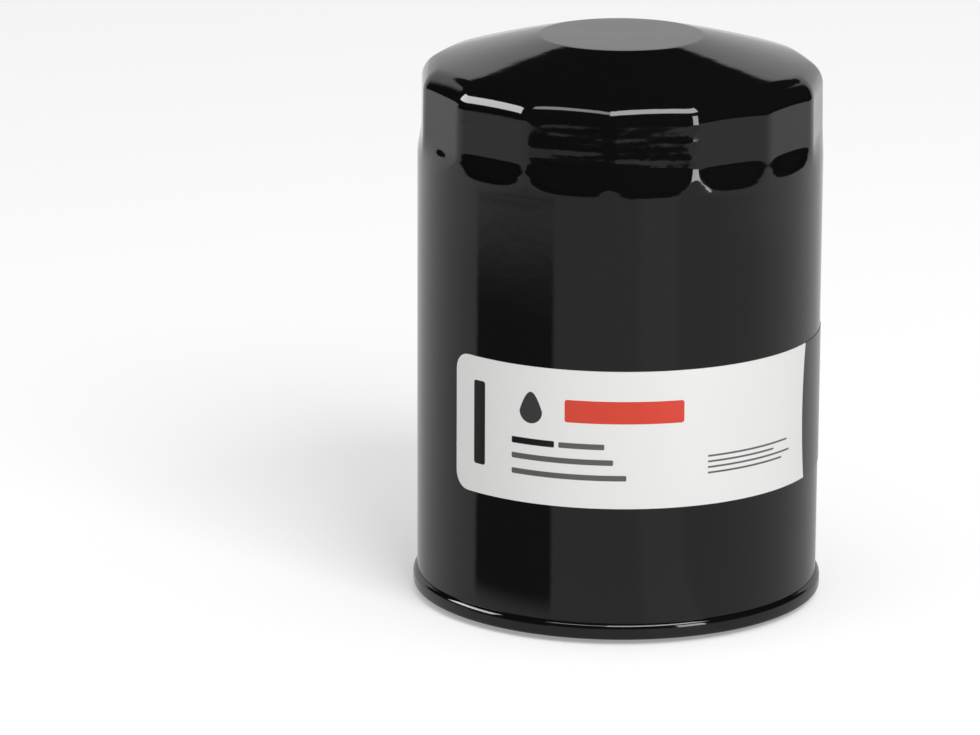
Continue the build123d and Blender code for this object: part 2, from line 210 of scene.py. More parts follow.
# At its open end the sheet turns out and up into the body hook, which the double seam holds.
HOOK_Z = 3.5
HOOK_IN_R = 46.8
HOOK_BEND_Z = 2.0
HOOK_GAP_R = (HOOK_IN_R - CAN_R) / 2
HOOK_MIDDLE_R = CAN_R + HOOK_GAP_R
HOOK_DROP = 0.42
COLUMNS = 480
columns = np.linspace(0, 2 * math.pi, COLUMNS, endpoint=False)
low = HOOK_BEND_Z + 0.01
run_out_rows = np.linspace(101.9, 110, 37)
outer_heights = np.concatenate([[low, 30, 60, 90, 98, 101], run_out_rows, [113, 116, SHOULDER_Z]])
inner_heights = np.concatenate([[low, 50, 98], np.linspace(100, 111, 6), [SHOULDER_Z]])
outer_skin = can_skin(columns, 0, outer_heights, 16)
inner_skin = can_skin(columns, CAN_WALL, inner_heights, 8)
turns = np.linspace(0, math.pi, 9)
near_r = HOOK_MIDDLE_R - HOOK_GAP_R * np.cos(turns)
near_bend = np.stack([near_r, HOOK_BEND_Z - HOOK_GAP_R * np.sin(turns)], axis=-1)
far_r = HOOK_MIDDLE_R + (HOOK_GAP_R + CAN_WALL) * np.cos(turns)
far_bend = np.stack([far_r, HOOK_BEND_Z - HOOK_DROP * np.sin(turns)], axis=-1)
hook_tip = [(HOOK_IN_R, HOOK_Z), (HOOK_IN_R + CAN_WALL, HOOK_Z)]
hook = around_axis(np.concatenate([near_bend, hook_tip, far_bend]), columns)
can = surface("can_shell", np.concatenate([outer_skin[::-1], hook, inner_skin]), closed=False)

# Stoved black enamel over drawn sheet: nearly mirror-smooth. Its orange peel has faint waves of 2.4 mm,
# and drawing leaves a slow ripple of 14 mm, which also hazes the gloss in places. The pressed end is wavy
# over 6 mm of its height, in strokes that run some 45 mm sideways.
PRESSED_FROM, PRESSED_FULLY = 98, 106
enamel, tree, output = start_material("stoved_black_enamel")
place = add_node(tree, "ShaderNodeTexCoord")
peel = add_node(
    tree,
    "ShaderNodeTexNoise",
    {"Vector": place.outputs["Object"], "Scale": 420.0, "Detail": 2.0, "Roughness": 0.5},
)
ripple = add_node(
    tree,
    "ShaderNodeTexNoise",
    {"Vector": place.outputs["Object"], "Scale": 70.0, "Detail": 1.0, "Roughness": 0.4},
)
peel_bump = add_node(
    tree,
    "ShaderNodeBump",
    {"Height": peel.outputs["Fac"], "Strength": 0.03, "Distance": 0.0004},
)
flattened = add_node(
    tree,
    "ShaderNodeMapping",
    {"Vector": place.outputs["Object"], "Scale": (0.13, 0.13, 1.0)},
)
pressed = add_node(
    tree,
    "ShaderNodeTexNoise",
    {"Vector": flattened.outputs["Vector"], "Scale": 170.0, "Detail": 2.0},
)
height = add_node(tree, "ShaderNodeSeparateXYZ", {"Vector": place.outputs["Object"]}).outputs["Z"]
zone = add_node(
    tree,
    "ShaderNodeMapRange",
    {"Value": height, "From Min": PRESSED_FROM * MM, "From Max": PRESSED_FULLY * MM},
    interpolation_type="SMOOTHSTEP",
)
pressed_part = add_node(
    tree,
    "ShaderNodeMath",
    {0: pressed.outputs["Fac"], 1: zone.outputs["Result"]},
    operation="MULTIPLY",
)
pressed_bump = add_node(
    tree,
    "ShaderNodeBump",
    {
        "Height": pressed_part.outputs[0],
        "Strength": 0.6,
        "Distance": 0.0002,
        "Normal": peel_bump.outputs["Normal"],
    },
)
ripple_bump = add_node(
    tree,
    "ShaderNodeBump",
    {
        "Height": ripple.outputs["Fac"],
        "Strength": 0.06,
        "Distance": 0.001,
        "Normal": pressed_bump.outputs["Normal"],
    },
)
haze = add_node(
    tree,
    "ShaderNodeMapRange",
    {
        "Value": ripple.outputs["Fac"],
        "From Min": 0.3,
        "From Max": 0.7,
        "To Min": 0.035,
        "To Max": 0.06,
    },
)
shader = add_node(
    tree,
    "ShaderNodeBsdfPrincipled",
    {
        "Base Color": linear("#0e0e0e"),
        "Roughness": haze.outputs["Result"],
        "IOR": 1.5,
        "Normal": ripple_bump.outputs["Normal"],
    },
)
tree.links.new(shader.outputs["BSDF"], output.inputs["Surface"])
can.data.materials.append(enamel)
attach(can, "housing")
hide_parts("can")


# ---------------------------------------------------------------- label
# A self-adhesive film wraps the can's front. Its white panel ends in a slightly hollow edge, and a black
# panel carries on round the side. The print is generic: an oil drop, coloured bars and rules.

MM_PER_CM = 10
LABEL_T = 0.15
LABEL_R = CAN_R + LABEL_T
LABEL_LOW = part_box("label")[0].z / MM
LABEL_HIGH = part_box("label")[1].z / MM
LABEL_START = math.radians(-51.5)
LABEL_END = math.radians(150.0)
LABEL_CORNER_R = 4.0


def label_sheet(start, end, low, high, corner):
    """A rectangle with round corners, wrapped on a cylinder. At each height the row is shortened at both
    ends by what the corner's arc leaves, and columns are spaced evenly along it. Azimuths run from -Y
    towards +X."""
    ease = corner * (1 - np.cos(np.linspace(0, math.pi / 2, 9)))
    straight = np.linspace(low + corner, high - corner, 8)[1:-1]
    heights = np.concatenate([low + ease, straight, high - ease[::-1]])
    from_edge = np.minimum(np.minimum(heights - low, high - heights), corner)
    cut = corner - np.sqrt(np.maximum(corner**2 - (corner - from_edge) ** 2, 0))
    share = np.linspace(0, 1, 201)[None, :]
    swing = cut[:, None] / LABEL_R
    azimuth = start + swing + (end - start - 2 * swing) * share
    levels = np.repeat(heights[:, None], share.shape[1], axis=1)
    return azimuth, levels


azimuth, levels = label_sheet(LABEL_START, LABEL_END, LABEL_LOW, LABEL_HIGH, LABEL_CORNER_R)
grid = np.stack([LABEL_R * np.sin(azimuth), -LABEL_R * np.cos(azimuth), levels], axis=-1)
shrink = 1 - LABEL_T / LABEL_R
inner = grid * np.array([shrink, shrink, 1])
label = surface("label_film", np.concatenate([grid, inner[::-1]]), around=False)
label_map = label.data.uv_layers.new(name="film")
points = np.zeros(len(label.data.vertices) * 3)
label.data.vertices.foreach_get("co", points)
points = points.reshape(-1, 3) / MM
flat = np.stack([LABEL_R * np.arctan2(points[:, 0], -points[:, 1]), points[:, 2]], axis=-1)
corners = np.zeros(len(label.data.loops), dtype=int)
label.data.loops.foreach_get("vertex_index", corners)
label_map.data.foreach_set("uv", (flat[corners] / MM_PER_CM).ravel())

# Printed polyester film: satin white stock with flat inks, the black panel glossier. The print's sizes are
# in centimetres of the film's own map, across from the can's front and up from the gasket's face.
film, tree, output = start_material("printed_satin_film")
place = add_node(tree, "ShaderNodeUVMap", uv_map="film")
where = add_node(tree, "ShaderNodeSeparateXYZ", {"Vector": place.outputs["UV"]})
INK_BLUR = 0.004


def print_mask(middle, size, corner):
    """A rounded rectangle of ink: 1 inside, 0 outside. The distance to a box shrunk by its corner's radius,
    compared with that radius."""
    vector_math = "ShaderNodeVectorMath"
    centre = (*middle, 0)
    core = (size[0] / 2 - corner, size[1] / 2 - corner, 0)
    offset = add_node(tree, vector_math, {0: place.outputs["UV"], 1: centre}, operation="SUBTRACT")
    folded = add_node(tree, vector_math, {0: offset.outputs["Vector"]}, operation="ABSOLUTE")
    beyond = add_node(tree, vector_math, {0: folded.outputs["Vector"], 1: core}, operation="SUBTRACT")
    kept = add_node(tree, vector_math, {0: beyond.outputs["Vector"], 1: (0, 0, 0)}, operation="MAXIMUM")
    distance = add_node(tree, vector_math, {0: kept.outputs["Vector"]}, operation="LENGTH")
    return add_node(
        tree,
        "ShaderNodeMapRange",
        {
            "Value": distance.outputs["Value"],
            "From Min": corner + INK_BLUR,
            "From Max": corner - INK_BLUR,
        },
    ).outputs["Result"]


def overprint(under, ink, mask):
    """The ink's colour over what is under it, where the mask is 1."""
    return add_node(tree, "ShaderNodeMix", {0: mask, 6: under, 7: ink}, data_type="RGBA").outputs[2]


WHITE_END = 5.36
HOLLOW = 0.13
height = add_node(
    tree,
    "ShaderNodeMapRange",
    {
        "Value": where.outputs["Y"],
        "From Min": LABEL_LOW / MM_PER_CM,
        "From Max": LABEL_HIGH / MM_PER_CM,
        "To Min": -1.0,
        "To Max": 1.0,
    },
)
square = add_node(tree, "ShaderNodeMath", {0: height.outputs["Result"], 1: 2.0}, operation="POWER")
hollow_edge = add_node(
    tree,
    "ShaderNodeMath",
    {0: square.outputs[0], 1: HOLLOW, 2: WHITE_END - HOLLOW},
    operation="MULTIPLY_ADD",
)
past_edge = add_node(
    tree,
    "ShaderNodeMath",
    {0: where.outputs["X"], 1: hollow_edge.outputs[0]},
    operation="SUBTRACT",
)
black_panel = add_node(
    tree,
    "ShaderNodeMapRange",
    {"Value": past_edge.outputs[0], "From Min": -INK_BLUR, "From Max": INK_BLUR},
).outputs["Result"]

stock = linear("#e6e6e4")
black = linear("#161616")
grey = linear("#5c5c5b")
red = linear("#d5402c")
BLOCK_CORNER = 0.06
colour = overprint(stock, black, print_mask((-3.42, 4.85), (0.34, 1.95), BLOCK_CORNER))
colour = overprint(colour, red, print_mask((0.15, 5.42), (2.72, 0.52), BLOCK_CORNER))

# Three rules under the red bar: the first starts with a bold black piece, and the rest is grey.
RULES_LEFT, RULES_TOP, RULES_APART = -2.5, 4.62, 0.36
BOLD_HEIGHT, RULE_HEIGHT, RULE_CORNER = 0.15, 0.13, 0.03
BOLD_LENGTH, BOLD_GAP = 1.05, 0.1
for row, (bold, light) in enumerate(((BOLD_LENGTH, 1.05), (0.0, 2.4), (0.0, 2.7))):
    level = RULES_TOP - RULES_APART * row
    start = RULES_LEFT
    if bold:
        piece = print_mask((start + bold / 2, level), (bold, BOLD_HEIGHT), RULE_CORNER)
        colour = overprint(colour, black, piece)
        start += bold + BOLD_GAP
    rule = print_mask((start + light / 2, level), (light, RULE_HEIGHT), RULE_CORNER)
    colour = overprint(colour, grey, rule)

# Four hairlines to the right, where small print stands on such a label.
HAIR_LEFT, HAIR_TOP, HAIR_APART = 2.1, 4.32, 0.13
HAIR_HEIGHT, HAIR_CORNER = 0.045, 0.01
for row, length in enumerate((2.4, 1.9, 2.5, 2.2)):
    level = HAIR_TOP - HAIR_APART * row
    hairline = print_mask((HAIR_LEFT + length / 2, level), (length, HAIR_HEIGHT), HAIR_CORNER)
    colour = overprint(colour, grey, hairline)

# An oil drop: a disc below and a point above, where the half-width shrinks towards the tip.
DROP_LEFT, DROP_Z, DROP_R = 2.02, 5.33, 0.28
DROP_SQUEEZE, DROP_TAPER = 0.62, 1.1
drop_x = add_node(tree, "ShaderNodeMath", {0: where.outputs["X"], 1: DROP_LEFT}, operation="ADD")
drop_across = add_node(tree, "ShaderNodeMath", {0: drop_x.outputs[0]}, operation="ABSOLUTE")
drop_up = add_node(tree, "ShaderNodeMath", {0: where.outputs["Y"], 1: DROP_Z}, operation="SUBTRACT")
upper = add_node(tree, "ShaderNodeMath", {0: drop_up.outputs[0], 1: 0.0}, operation="MAXIMUM")
squeezed = add_node(tree, "ShaderNodeMath", {0: upper.outputs[0], 1: DROP_SQUEEZE}, operation="MULTIPLY")
lower = add_node(tree, "ShaderNodeMath", {0: drop_up.outputs[0], 1: 0.0}, operation="MINIMUM")
drop_y = add_node(tree, "ShaderNodeMath", {0: squeezed.outputs[0], 1: lower.outputs[0]}, operation="ADD")
taper = add_node(
    tree,
    "ShaderNodeMath",
    {0: upper.outputs[0], 1: DROP_TAPER, 2: 1.0},
    operation="MULTIPLY_ADD",
)
wide = add_node(
    tree,
    "ShaderNodeMath",
    {0: drop_across.outputs[0], 1: taper.outputs[0]},
    operation="MULTIPLY",
)
drop_point = add_node(tree, "ShaderNodeCombineXYZ", {"X": wide.outputs[0], "Y": drop_y.outputs[0]})
drop_reach = add_node(tree, "ShaderNodeVectorMath", {0: drop_point.outputs[0]}, operation="LENGTH")
drop = add_node(
    tree,
    "ShaderNodeMapRange",
    {
        "Value": drop_reach.outputs["Value"],
        "From Min": DROP_R + INK_BLUR,
        "From Max": DROP_R - INK_BLUR,
    },
)
colour = overprint(colour, linear("#3a3a3a"), drop.outputs["Result"])
colour = overprint(colour, black, black_panel)
gloss = add_node(tree, "ShaderNodeMapRange", {"Value": black_panel, "To Min": 0.32, "To Max": 0.14})
shader = add_node(
    tree,
    "ShaderNodeBsdfPrincipled",
    {"Base Color": colour, "Roughness": gloss.outputs["Result"], "IOR": 1.5},
)
tree.links.new(shader.outputs["BSDF"], output.inputs["Surface"])
label.data.materials.append(film)
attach(label, "housing")
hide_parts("label")


# ---------------------------------------------------------------- seaming lid
# A thin tinned-steel lid closes the can. Its rim and the can's hook are rolled into a double seam, and it
# carries the gasket in a pressed channel. It is enamelled with the can.

LID_T = 0.3
SEAM_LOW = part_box("seam_lid")[0].z / MM
SEAM_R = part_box("seam_lid")[1].x / MM
SEAM_HIGH = 5.0
SEAM_SHOULDER_Z = 3.55


def bent_sheet(path, bends, thickness, steps=7):
    """Both faces of a bent sheet. Each corner of its middle line becomes an arc, sampled evenly by angle,
    and the faces stand half a thickness off along the line's normals."""
    path = np.array(path, dtype=float)
    along = np.diff(path, axis=0)
    along /= np.linalg.norm(along, axis=1)[:, None]
    normals = np.stack([-along[:, 1], along[:, 0]], axis=-1)
    line, facing = [path[0]], [normals[0]]
    for corner, bend, before, after in zip(path[1:-1], bends, normals, normals[1:]):
        turn = math.atan2(before[0] * after[1] - before[1] * after[0], before @ after)
        side = math.copysign(1, turn)
        centre = corner + (before + after) / (1 + before @ after) * side * bend
        start = math.atan2(before[1], before[0])
        angles = start + turn * np.linspace(0, 1, steps)
        normal = np.stack([np.cos(angles), np.sin(angles)], axis=-1)
        line.extend(centre - side * bend * normal)
        facing.extend(normal)
    line, facing = np.array([*line, path[-1]]), np.array([*facing, normals[-1]])
    return line + facing * thickness / 2, line - facing * thickness / 2


def turned(name, section, count=256):
    """A closed section of radius and height, turned about the axis."""
    return surface(name, around_axis(section, np.linspace(0, 2 * math.pi, count, endpoint=False)))


# The lid's middle line, from the channel's inner lip, over the channel and its outer bead, along the
# recessed panel, and down the can's wall into the seam.
LIP_Z = 2.6
CHANNEL_IN_R = 30.5
CHANNEL_OUT_R = 36.6
CHANNEL_Z = 5.15
BEAD_Z = 3.0
BEAD_OUT_R = 38.3
PANEL_IN_R = 40.2
PANEL_Z = 7.2
COVER_HOOK_Z = 2.4
chuck_r = CAN_R - CAN_WALL - LID_T / 2
wrap_r = SEAM_R - LID_T / 2
lid_path = [
    (CHANNEL_IN_R, LIP_Z),
    (CHANNEL_IN_R, CHANNEL_Z),
    (CHANNEL_OUT_R, CHANNEL_Z),
    (CHANNEL_OUT_R, BEAD_Z),
    (BEAD_OUT_R, BEAD_Z),
    (PANEL_IN_R, PANEL_Z),
    (chuck_r, PANEL_Z),
    (chuck_r, SEAM_LOW + LID_T / 2),
    (wrap_r, SEAM_LOW + LID_T / 2),
    (wrap_r, SEAM_SHOULDER_Z),
]
lid_bends = [0.6, 0.6, 0.8, 0.8, 1.2, 1.2, 0.6, 0.6]
above, below = bent_sheet(lid_path, lid_bends, LID_T)

# The wrap's shoulder is a quarter of an ellipse outside, which meets the wall. Its inside is a smaller
# quarter, and the wrap's edge, the cover hook, hangs down along the wall.
SEAM_REACH = SEAM_R - CAN_R
SEAM_RISE = SEAM_HIGH - SEAM_SHOULDER_Z
turns = np.linspace(0, math.pi / 2, 14)[1:]
shoulder_r = CAN_R + SEAM_REACH * np.cos(turns)
shoulder_out = np.stack([shoulder_r, SEAM_SHOULDER_Z + SEAM_RISE * np.sin(turns)], axis=-1)
turns = np.linspace(math.pi / 2, 0, 8)[:-1]
gap_reach = SEAM_REACH - 2 * LID_T
gap_rise = SEAM_RISE - LID_T
gap_r = CAN_R + LID_T + gap_reach * np.cos(turns)
shoulder_in = np.stack([gap_r, SEAM_SHOULDER_Z + gap_rise * np.sin(turns)], axis=-1)
hook_end = np.array([(CAN_R, COVER_HOOK_Z), (CAN_R + LID_T, COVER_HOOK_Z)])
lid_section = np.concatenate([below, shoulder_out, hook_end, shoulder_in, above[::-1]])
lid = turned("seaming_lid", lid_section, COLUMNS)
lid.data.materials.append(enamel)
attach(lid, "housing")
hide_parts("seam_lid")


# ---------------------------------------------------------------- gasket
# A square-cut ring of black nitrile rubber seals the filter on the engine. It is moulded as a tube, cut on
# a lathe, and pressed into the lid's channel.


def round_section(corners, radius, steps=6):
    """A closed section whose corners are arcs of one radius, sampled evenly by angle."""
    path = np.array(corners, dtype=float)
    ring = []
    for before, corner, after in zip(np.roll(path, 1, axis=0), path, np.roll(path, -1, axis=0)):
        into = (before - corner) / np.linalg.norm(before - corner)
        out = (after - corner) / np.linalg.norm(after - corner)
        cosine = into @ out
        middle = (into + out) / np.linalg.norm(into + out)
        centre = corner + middle * radius / math.sqrt((1 - cosine) / 2)
        reach = radius * math.sqrt((1 + cosine) / (1 - cosine))
        first, last = corner + into * reach - centre, corner + out * reach - centre
        swing = math.atan2(first[0] * last[1] - first[1] * last[0], first @ last)
        angles = math.atan2(first[1], first[0]) + swing * np.linspace(0, 1, steps)
        ring.extend(centre + radius * np.stack([np.cos(angles), np.sin(angles)], axis=-1))
    return np.array(ring)


GASKET_IN_R = 30.9
GASKET_CORNER = 0.6
gasket_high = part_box("gasket")[1]
gasket_r, gasket_top = gasket_high.x / MM, gasket_high.z / MM
gasket_corners = [(GASKET_IN_R, 0), (gasket_r, 0), (gasket_r, gasket_top), (GASKET_IN_R, gasket_top)]
gasket = turned("gasket_ring", round_section(gasket_corners, GASKET_CORNER))

# Black nitrile rubber: satin, with a greyish bloom in patches of 4 mm down to a fine grain.
nitrile, tree, output = start_material("lathe_cut_nitrile_rubber")
place = add_node(tree, "ShaderNodeTexCoord")
bloom = add_node(
    tree,
    "ShaderNodeTexNoise",
    {"Vector": place.outputs["Object"], "Scale": 260.0, "Detail": 4.0},
)
tone = add_node(
    tree,
    "ShaderNodeMix",
    {0: bloom.outputs["Fac"], 6: linear("#171717"), 7: linear("#2a2a29")},
    data_type="RGBA",
)
grain = add_node(
    tree,
    "ShaderNodeBump",
    {"Height": bloom.outputs["Fac"], "Strength": 0.2, "Distance": 0.0002},
)
shader = add_node(
    tree,
    "ShaderNodeBsdfPrincipled",
    {
        "Base Color": tone.outputs[2],
        "Roughness": 0.52,
        "IOR": 1.52,
        "Normal": grain.outputs["Normal"],
    },
)
tree.links.new(shader.outputs["BSDF"], output.inputs["Surface"])
gasket.data.materials.append(nitrile)
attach(gasket, "housing")
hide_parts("gasket")


# ---------------------------------------------------------------- tapping plate
# The thick plate takes the pull of the engine's stud. It is pressed from bare steel strip, its hub is drawn
# up and tapped 3/4-16 UNF, and oil comes in through eight punched holes.

plate_low, plate_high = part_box("tapping_plate")
FACE_Z = plate_low.z / MM
PLATE_T = 3.5
BACK_Z = FACE_Z + PLATE_T
HUB_TOP = plate_high.z / MM
PLATE_R = plate_high.x / MM
PLATE_EDGE = 0.3
HUB_R = 13.2
HUB_CORNER = 0.5
INLETS = 8
INLET_R = 3.75
INLET_CIRCLE = 21.5
INLET_EDGE = 0.5
FLAT_MARGIN = 0.15
MAJOR_R = 9.525
MINOR_R = 8.70
PITCH = 25.4 / 16
CREST, ROOT = 1 / 4, 1 / 8
THREAD_ROWS = 12
ENTRY = 0.9
EXIT = 0.3
SECTOR_STEPS = 12
SIDE_STEPS = 14


def sector_edge(inner_r, outer_r):
    """The closed edge of one inlet's share of the plate, anticlockwise from its outer right corner: the
    outer arc, a straight side, the inner arc and the other side."""
    half = math.pi / INLETS
    arc = np.linspace(-half, half, SECTOR_STEPS, endpoint=False)
    side = np.linspace(outer_r, inner_r, SIDE_STEPS, endpoint=False)
    edge = np.concatenate(
        [
            outer_r * np.exp(1j * arc),
            side * np.exp(1j * half),
            inner_r * np.exp(-1j * arc),
            (outer_r + inner_r - side) * np.exp(-1j * half),
        ]
    )
    return np.append(edge, edge[0])


def inlet_sector(turn):
    """From the lower face's edge in to the hole, up the hole's wall with both its lips rounded, and out to
    the upper face's edge. A ring about the hole has the bearings of the edge's points from its middle."""
    middle = INLET_CIRCLE
    below = sector_edge(MAJOR_R + ENTRY, PLATE_R - PLATE_EDGE - FLAT_MARGIN)
    above = sector_edge(HUB_R, PLATE_R - PLATE_EDGE - FLAT_MARGIN)
    rows = [(below, FACE_Z)]
    for edge, face, rise in ((below, FACE_Z, 1), (above, BACK_Z, -1)):
        bearing = (edge - middle) / np.abs(edge - middle)
        ring = [(middle + (INLET_R + INLET_EDGE + FLAT_MARGIN) * bearing, face)]
        for slope in np.linspace(math.pi / 2, 0, 5):
            reach = INLET_R + INLET_EDGE * (1 - math.cos(slope))
            ring.append((middle + reach * bearing, face + rise * INLET_EDGE * (1 - math.sin(slope))))
        rows += ring if rise > 0 else ring[::-1]
    rows.append((above, BACK_Z))
    points = np.array([row for row, _ in rows]) * np.exp(1j * turn)
    levels = np.array([[level] for _, level in rows]) * np.ones(points.shape[1])
    return np.stack([points.real, points.imag, levels], axis=-1)


def tapped_bore():
    """The thread's radius is its 60 degree form's, from the minor radius over the crest, a quarter of the
    pitch, to the major radius over the root, an eighth of it. Where a point stands in the form is the part
    of a pitch left over from its height and its turn. Rows climb with the thread, and a cone opens each
    end."""
    turns = np.linspace(0, 1, INLETS * SECTOR_STEPS + 1)
    step = PITCH / THREAD_ROWS
    climb = step * np.arange(-THREAD_ROWS, math.ceil((HUB_TOP - FACE_Z) / step) + 1)
    height = np.clip(FACE_Z + climb[:, None] + PITCH * turns, FACE_Z, HUB_TOP)
    from_crest = np.abs(2 * ((height / PITCH - turns) % 1) - 1)
    flank = np.clip((from_crest - CREST) / (1 - CREST - ROOT), 0, 1)
    radius = MINOR_R + (MAJOR_R - MINOR_R) * flank
    radius = np.maximum(radius, MAJOR_R + ENTRY - (height - FACE_Z))
    radius = np.maximum(radius, MAJOR_R + EXIT - (HUB_TOP - height))
    angle = 2 * math.pi * turns * np.ones_like(height)
    return np.stack([radius * np.cos(angle), radius * np.sin(angle), height], axis=-1)


def rounded_corner(middle, radius, start, end, steps=5):
    """An arc about a point of the section, between two angles in degrees."""
    angles = np.radians(np.linspace(start, end, steps))
    return np.array(middle) + radius * np.stack([np.cos(angles), np.sin(angles)], axis=-1)


bearings = np.linspace(0, 2 * math.pi, INLETS * SECTOR_STEPS + 1)
flat_r = PLATE_R - PLATE_EDGE
rim = np.concatenate(
    [
        [(flat_r - FLAT_MARGIN, FACE_Z)],
        rounded_corner((flat_r, FACE_Z + PLATE_EDGE), PLATE_EDGE, -90, 0),
        rounded_corner((flat_r, BACK_Z - PLATE_EDGE), PLATE_EDGE, 0, 90),
        [(flat_r - FLAT_MARGIN, BACK_Z)],
    ]
)
corner_end = HUB_CORNER + 0.2
hub = np.concatenate(
    [
        [(HUB_R, BACK_Z), (HUB_R, HUB_TOP - corner_end)],
        rounded_corner((HUB_R - HUB_CORNER, HUB_TOP - HUB_CORNER), HUB_CORNER, 0, 90),
        [(HUB_R - corner_end, HUB_TOP), (MAJOR_R + EXIT, HUB_TOP)],
    ]
)
plate = surface(
    "tapped_steel_plate",
    *[inlet_sector(2 * math.pi * i / INLETS) for i in range(INLETS)],
    around_axis(rim, bearings),
    around_axis(hub, bearings),
    tapped_bore(),
    around=False,
    closed=False,
)


def worked_metal(name, bright, dull, lay, roughness):
    """Bare metal: two tones mixed by a grain drawn out along the lay that rolling or turning gives it, and
    by a slow blotch. They also set how polished it is, and the grain a low bump. Real rolling lines are too
    fine to show, so the grain is drawn coarser, 0.6 mm wide. The blotch is 11 mm wide."""
    material, tree, output = start_material(name)
    place = add_node(tree, "ShaderNodeTexCoord")
    drawn = add_node(tree, "ShaderNodeMapping", {"Vector": place.outputs["Object"], "Scale": lay})
    grain = add_node(
        tree,
        "ShaderNodeTexNoise",
        {"Vector": drawn.outputs["Vector"], "Scale": 1800.0, "Detail": 3.0},
    )
    blotch = add_node(
        tree,
        "ShaderNodeTexNoise",
        {"Vector": place.outputs["Object"], "Scale": 90.0, "Detail": 2.0},
    )
    mixed = add_node(
        tree,
        "ShaderNodeMath",
        {0: grain.outputs["Fac"], 1: blotch.outputs["Fac"]},
        operation="MULTIPLY",
    )
    share = add_node(
        tree,
        "ShaderNodeMapRange",
        {"Value": mixed.outputs[0], "From Min": 0.12, "From Max": 0.4},
    ).outputs["Result"]
    tone = add_node(
        tree,
        "ShaderNodeMix",
        {0: share, 6: linear(dull), 7: linear(bright)},
        data_type="RGBA",
    )
    polish = add_node(
        tree,
        "ShaderNodeMapRange",
        {"Value": share, "To Min": roughness + 0.08, "To Max": roughness - 0.05},
    )
    marks = add_node(
        tree,
        "ShaderNodeBump",
        {"Height": grain.outputs["Fac"], "Strength": 0.05, "Distance": 0.0001},
    )
    shader = add_node(
        tree,
        "ShaderNodeBsdfPrincipled",
        {
            "Base Color": tone.outputs[2],
            "Metallic": 1.0,
            "Roughness": polish.outputs["Result"],
            "Normal": marks.outputs["Normal"],
        },
    )
    tree.links.new(shader.outputs["BSDF"], output.inputs["Surface"])
    return material


# Hot-rolled, pickled and oiled strip: a dull grey metal with faint rolling lines.
strip_steel = worked_metal("pickled_strip_steel", "#a5a49f", "#7d7c79", (0.12, 1.0, 1.0), 0.36)
plate.data.materials.append(strip_steel)
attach(plate, "housing")
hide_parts("tapping_plate")


# ---------------------------------------------------------------- anti-drain valve
# One silicone moulding grips the hub. Its thin skirt reaches over the inlet holes, and its lip rests on the
# plate until oil lifts it. In use the collar stays still, and the skirt bends between the collar and the
# lip.

GRIP_R = 15.2
FLANGE_T = 1.5
COLLAR_CORNER = 0.35
collar_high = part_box("anti_drain_collar")[1]
collar_r, collar_top = collar_high.x / MM, collar_high.z / MM
collar_corners = [
    (HUB_R, BACK_Z),
    (GRIP_R, BACK_Z),
    (GRIP_R, collar_top - FLANGE_T),
    (collar_r, collar_top - FLANGE_T),
    (collar_r, collar_top),
    (HUB_R, collar_top),
]
collar = turned("silicone_collar", round_section(collar_corners, COLLAR_CORNER))

SKIRT_IN_R = 14.9
SKIRT_LOW, SKIRT_HIGH = 14.2, 15.4
LIP_IN_R = 25.5
LIP_TOP, LIP_UNDER = 10.5, 9.3
LIP_SLANT = 1.2
LIP_T = 0.6
SKIRT_CORNER = 0.28
lip_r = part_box("anti_drain_lip")[1].x / MM
skirt_corners = [
    (SKIRT_IN_R, SKIRT_LOW),
    (LIP_IN_R, LIP_UNDER),
    (LIP_IN_R + LIP_SLANT, BACK_Z),
    (lip_r, BACK_Z),
    (lip_r, BACK_Z + LIP_T),
    (LIP_IN_R, LIP_TOP),
    (SKIRT_IN_R, SKIRT_HIGH),
]
skirt = turned("silicone_skirt", round_section(skirt_corners, SKIRT_CORNER))

# Red-brown silicone, compression moulded: matt, faintly mottled over 3 mm, and dusted with talc.
silicone, tree, output = start_material("moulded_red_silicone")
place = add_node(tree, "ShaderNodeTexCoord")
dusting = add_node(
    tree,
    "ShaderNodeTexNoise",
    {"Vector": place.outputs["Object"], "Scale": 320.0, "Detail": 4.0},
)
tone = add_node(
    tree,
    "ShaderNodeMix",
    {0: dusting.outputs["Fac"], 6: linear("#a23e25"), 7: linear("#b9533a")},
    data_type="RGBA",
)
grain = add_node(
    tree,
    "ShaderNodeBump",
    {"Height": dusting.outputs["Fac"], "Strength": 0.15, "Distance": 0.0002},
)
shader = add_node(
    tree,
    "ShaderNodeBsdfPrincipled",
    {
        "Base Color": tone.outputs[2],
        "Roughness": 0.58,
        "IOR": 1.41,
        "Normal": grain.outputs["Normal"],
    },
)
tree.links.new(shader.outputs["BSDF"], output.inputs["Surface"])
for piece in (collar, skirt):
    piece.data.materials.append(silicone)
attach(collar, "housing")
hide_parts("anti_drain_collar")
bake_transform(skirt)
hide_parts("anti_drain_web", "anti_drain_lip")


# ---------------------------------------------------------------- bypass valve's spring
# A coil spring, wound from round wire with its end coils closed up flat, stands in the cage and holds the
# poppet shut.

spring_low, spring_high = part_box("bypass_spring")
WIRE_R = 0.45
WIRE_SIDES = 12
COILS = 5
END_COIL = 0.75
STEPS_PER_COIL = 48
coil_r = spring_high.x / MM - WIRE_R
foot, head = spring_low.z / MM + WIRE_R, spring_high.z / MM - WIRE_R


